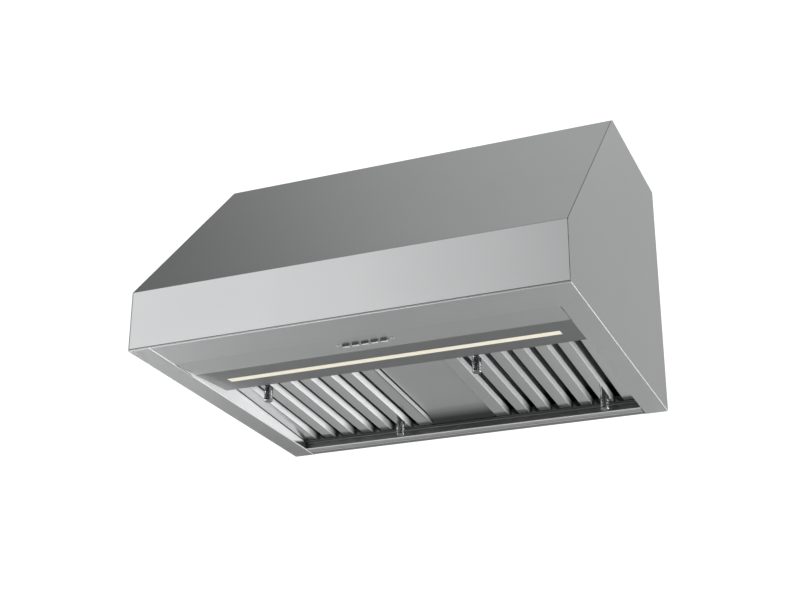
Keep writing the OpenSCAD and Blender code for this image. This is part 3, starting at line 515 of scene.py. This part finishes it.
# Finishes of single pieces
def side_steel():
    """Brushed from front to back, with a painted highlight along the bottom edge."""
    return painted_highlight_line(brushed("side_steel", STEEL, "Y"), "Z", BOTTOM_Z, EDGE_HIGHLIGHT_REACH)


def bottom_frame_steel():
    """Brushed across in a darker copy of the steel (painted shade), with pale mill finish on its end walls as
    painted reflection, a painted highlight on the left seam, and painted shade in the slits and on the left
    flange.
    """
    steel = brushed("bottom_frame_steel", dimmed(STEEL, BOTTOM_FRAME_TONE), "X", rough=0.38)
    tree = steel.node_tree
    satin_painted_light(steel, side_facing(tree, 0.3, 0.6), LIT_WALL_STEEL)
    painted_highlight_line(steel, "X", FRAME_SEAM_X, FOLD_HIGHLIGHT_REACH, PAINTED_SEAM_HIGHLIGHT)
    place = place_on(tree)
    beside_strip = near(tree, absolute(tree, place["X"]), SLIT_X, SLIT_REACH_X)
    slit = both(tree, beside_strip, near(tree, place["Y"], SLIT_Y, SLIT_REACH_Y))
    darkened(steel, slit, SLIT_TONE)
    left_flange = falling(tree, place["X"], FLANGE_X - FLANGE_SOFTNESS, FLANGE_X + FLANGE_SOFTNESS)
    towards_wall = rising(tree, place["Y"], FLANGE_SHADE_START_Y, FLANGE_SHADE_END_Y)
    return darkened(steel, both(tree, left_flange, towards_wall), FLANGE_SHADE_TONE)


def liner_steel():
    """Mill finish on the walls in a pale colour as painted reflection, with painted shade above the filters'
    plane and in the rear corner over the edge.
    """
    steel = satin_walls_painted_light(brushed("liner_steel", STEEL, "Y"), LINER_STEEL)
    tree = steel.node_tree
    shaded(steel, filter_depth(tree), *LINER_SHADE)
    place = place_on(tree)
    corner_line = combine(tree, combine(tree, place["Y"], CORNER_RISE, "MULTIPLY"), CORNER_Z)
    below_line = rising(tree, combine(tree, corner_line, place["Z"], "SUBTRACT"), -CORNER_SOFTNESS, 0.0)
    over_edge = rising(tree, place["Z"], BOTTOM_Z + 0.001, BOTTOM_Z + 0.0015)
    return darkened(steel, both(tree, below_line, over_edge), CORNER_TONE)


def rail_steel():
    """The rail's face has painted shade, and its bottom edge a painted highlight."""
    steel = brushed("rail_steel", STEEL, "X")
    tree = steel.node_tree
    height = place_on(tree)["Z"]
    shade_start, shade_end, _ = RAIL_SHADE
    satin_painted_light(steel, falling(tree, height, shade_start, shade_end), PAINTED_HIGHLIGHT)
    return shaded(steel, height, *RAIL_SHADE)


def trough_steel():
    """The trough's floor has painted shade along its rear fold, and at its ends."""
    steel = brushed("trough_steel", STEEL, "X")
    return dark_ends(shaded(steel, place_on(steel.node_tree)["Y"], *TROUGH_REAR_SHADE))


def rear_flange_steel():
    """The flange is a darker copy of the steel as painted shade, with a painted highlight along its fold and
    painted shade at its ends.
    """
    steel = brushed("rear_flange_steel", dimmed(STEEL, REAR_FLANGE_TONE), "X")
    return dark_ends(painted_highlight_line(steel, "Y", FLANGE_FOLD_Y, FOLD_HIGHLIGHT_REACH))


def centre_steel():
    """Brushed from front to back, a darker copy of the steel as painted shade, and painted shade towards the
    wall side.
    """
    steel = brushed("centre_panel_steel", dimmed(STEEL, CENTRE_TONE), "Y")
    return shaded(steel, place_on(steel.node_tree)["Y"], *CENTRE_REAR_SHADE)


def filter_steel(name, wall_colour, depth_shade):
    """Brushed along the baffles, with mill finish in a pale painted-reflection colour on the walls, and
    painted shade above and at the walls' rear.
    """
    steel = satin_walls_painted_light(brushed(name, FILTER_STEEL, "Y", rough=0.16), wall_colour)
    tree = steel.node_tree
    shaded(steel, filter_depth(tree), *depth_shade)
    shade_start, shade_end, tone = FILTER_REAR_SHADE
    towards_wall = rising(tree, place_on(tree)["Y"], shade_start, shade_end)
    return darkened(steel, both(tree, towards_wall, side_facing(tree)), tone)


def dark_seam(material, place):
    """A frame's end in the shade of the piece beside it, and darkest above that piece's edge."""
    tree = material.node_tree
    end = near(tree, place_on(tree)["X"], place, SEAM_REACH)
    darkened(material, end, SEAM_TONE)
    shade_start, shade_end, tone = SEAM_SHADE
    over_edge = rising(tree, filter_depth(tree), shade_start, shade_end)
    return darkened(material, both(tree, end, over_edge), tone)


def button_plastic():
    """Dark plastic, with a painted highlight on the caps' downward faces."""
    plastic = moulded("button_plastic", BUTTON_PLASTIC, 0.4)
    tree = plastic.node_tree
    return satin_painted_light(plastic, falling(tree, facing(tree)["Z"], *CAP_FACING), PAINTED_HIGHLIGHT)


def lens():
    """Opal strip, lit evenly with a slight pulse over each light chip."""
    material, tree, shader = new_material("lens", Roughness=0.35, Emission_Strength=0.34)
    place = object_coords(tree)
    chips = add_node(tree, "ShaderNodeTexWave", {"Vector": place, "Scale": CHIP_SCALE}, bands_direction="X")
    glow = mix_colours(tree, chips.outputs["Fac"], shade(LENS_GLOW, 0.97), shade(LENS_GLOW, 1.03))
    tree.links.new(glow, shader.inputs["Emission Color"])
    shader.inputs["Base Color"].default_value = shade(LENS_PLASTIC, 1)
    return material


def circuit_board():
    material, tree, shader = new_material("circuit_board", Roughness=0.35)
    tracks = add_node(tree, "ShaderNodeTexBrick", {
        "Vector": object_coords(tree), "Scale": 60.0, "Mortar Size": 0.03,
        "Color1": shade(BOARD, 1), "Color2": shade(PALE_BOARD, 1), "Mortar": shade(TRACKS, 1),
    })
    tree.links.new(tracks.outputs["Color"], shader.inputs["Base Color"])
    return material


# Which piece has which finish
def dress(material, *names):
    for name in names:
        slots = nodes[name].data.materials
        slots.clear()
        slots.append(material)


def dress_shell():
    dress(brushed("shell_steel", STEEL, "X"), "outer_wrap", "duct_collar")
    dress(side_steel(), "left_side_panel", "right_side_panel")
    # The back panel is a darker copy of the steel: painted shade
    dress(brushed("back_steel", dimmed(STEEL, BACK_TONE), "X", rough=0.22), "back_panel")
    dress(bottom_frame_steel(), "bottom_frame")
    dress(liner_steel(), "left_liner", "right_liner")
    dress(brushed("light_panel_steel", PANEL_STEEL, "X"), "light_panel")
    dress(centre_steel(), "centre_panel")
    dress(rail_steel(), "grease_rail")
    dress(trough_steel(), "grease_trough")
    dress(rear_flange_steel(), "rear_flange")


def dress_filters(chrome):
    # The upper baffles are a darker copy of the filter steel: painted shade
    upper = brushed("upper_baffle_steel", dimmed(FILTER_STEEL, UPPER_BAFFLE_TONE), "Y", rough=0.35)
    knob = polished("knob_metal", KNOB_METAL, rough=0.14, sheen=1.0)
    for side, wall_colour in (("left", LIT_WALL_STEEL), ("right", SHADED_WALL_STEEL)):
        frame_steel = filter_steel(f"{side}_frame_steel", wall_colour, FILTER_FRAME_SHADE)
        if side == "left":
            dark_seam(frame_steel, LEFT_FILTER_END_X)
        lower_steel = filter_steel(f"{side}_lower_steel", wall_colour, LOWER_BAFFLE_SHADE)
        dress(frame_steel, f"{side}_filter_frame")
        dress(lower_steel, f"{side}_filter_lower_baffles")
        dress(upper, f"{side}_filter_upper_baffles")
        dress(knob, f"{side}_filter_knobs")
        dress(chrome, f"{side}_filter_knob_nuts")


def dress_controls():
    dress(button_plastic(), "light_button", "off_button", "low_button", "medium_button", "high_button")
    dress(polished("screw_metal", dimmed(CHROME, SWITCH_SCREW_TONE), rough=0.6), "switch_screws")
    dress(lens(), "led_lens")
    dress(circuit_board(), "led_board")
    dress(brushed("lamp_housing", LAMP_ALUMINIUM, "X", rough=0.4), "led_housing")
    dress(moulded("grey_plastic", GREY_PLASTIC, 0.5), "led_driver", "switch_body")


def dress_blower(chrome):
    zinc = galvanised()
    dress(chrome, "flange_screws", "motor_shaft", "damper_rod")
    dress(zinc, "blower_wrapper", "blower_inlet_plate", "blower_motor_plate", "inlet_ring", "impeller")
    dress(zinc, "junction_box", "junction_cover", "front_damper_flap", "rear_damper_flap", "motor_mount")
    dress(brushed("capacitor_can", CAPACITOR_ALUMINIUM, "X", rough=0.35), "capacitor")
    dress(moulded("motor_paint", MOTOR_PAINT, 0.42, grain_scale=PAINT_GRAIN, lift=0.3), "motor")
    dress(moulded("black_plastic", BLACK_PLASTIC, 0.5), "cable_bushing")


# Edges
def smooth_group():
    """Geometry nodes that join the mesh's faces and shade the bends smooth."""
    tree = bpy.data.node_groups.new("smooth_bends", "GeometryNodeTree")
    for way in ("INPUT", "OUTPUT"):
        tree.interface.new_socket("Geometry", in_out=way, socket_type="NodeSocketGeometry")
    start = add_node(tree, "NodeGroupInput").outputs["Geometry"]
    joined = add_node(tree, "GeometryNodeMergeByDistance", {"Geometry": start, "Distance": JOIN_DISTANCE})
    angle = add_node(tree, "GeometryNodeInputMeshEdgeAngle").outputs["Unsigned Angle"]
    sharp = combine(tree, angle, math.radians(CREASE_ANGLE), "GREATER_THAN")
    smooth = add_node(tree, "GeometryNodeSetShadeSmooth", {
        "Geometry": joined.outputs["Geometry"], "Shade Smooth": True,
    }, domain="FACE")
    creased = add_node(tree, "GeometryNodeSetShadeSmooth", {
        "Geometry": smooth.outputs["Geometry"], "Selection": sharp, "Shade Smooth": False,
    }, domain="EDGE")
    add_node(tree, "NodeGroupOutput", {"Geometry": creased.outputs["Geometry"]})
    return tree


def break_edges(piece, bends, width):
    """Joined bends, fine broken edges and flat faces that stay flat, with no change to a mesh."""
    join = piece.modifiers.new("smooth_bends", "NODES")
    join.node_group = bends
    flatten = piece.modifiers.new("plain_faces", "DECIMATE")
    flatten.decimate_type = "DISSOLVE"
    flatten.angle_limit = math.radians(FLAT_ANGLE)
    edge = piece.modifiers.new("broken_edges", "BEVEL")
    edge.width = width
    edge.segments = BREAK_SEGMENTS
    edge.limit_method = "ANGLE"
    edge.angle_limit = math.radians(BREAK_ANGLE)
    edge.harden_normals = True
    level = piece.modifiers.new("level_faces", "WEIGHTED_NORMAL")
    level.keep_sharp = True


def break_all_edges():
    bends = smooth_group()
    for name, piece in nodes.items():
        break_edges(piece, bends, FRAME_EDGE_BREAK if name == "bottom_frame" else EDGE_BREAK)


# The scene
add_camera()
add_world()
add_floor()
for lamp_name, facts in LAMPS.items():
    add_lamp(lamp_name, *facts)
bright_metal = polished("polished_metal", CHROME)
dress_shell()
dress_filters(bright_metal)
dress_controls()
dress_blower(bright_metal)
break_all_edges()

bpy.context.scene.view_settings.view_transform = "Standard"
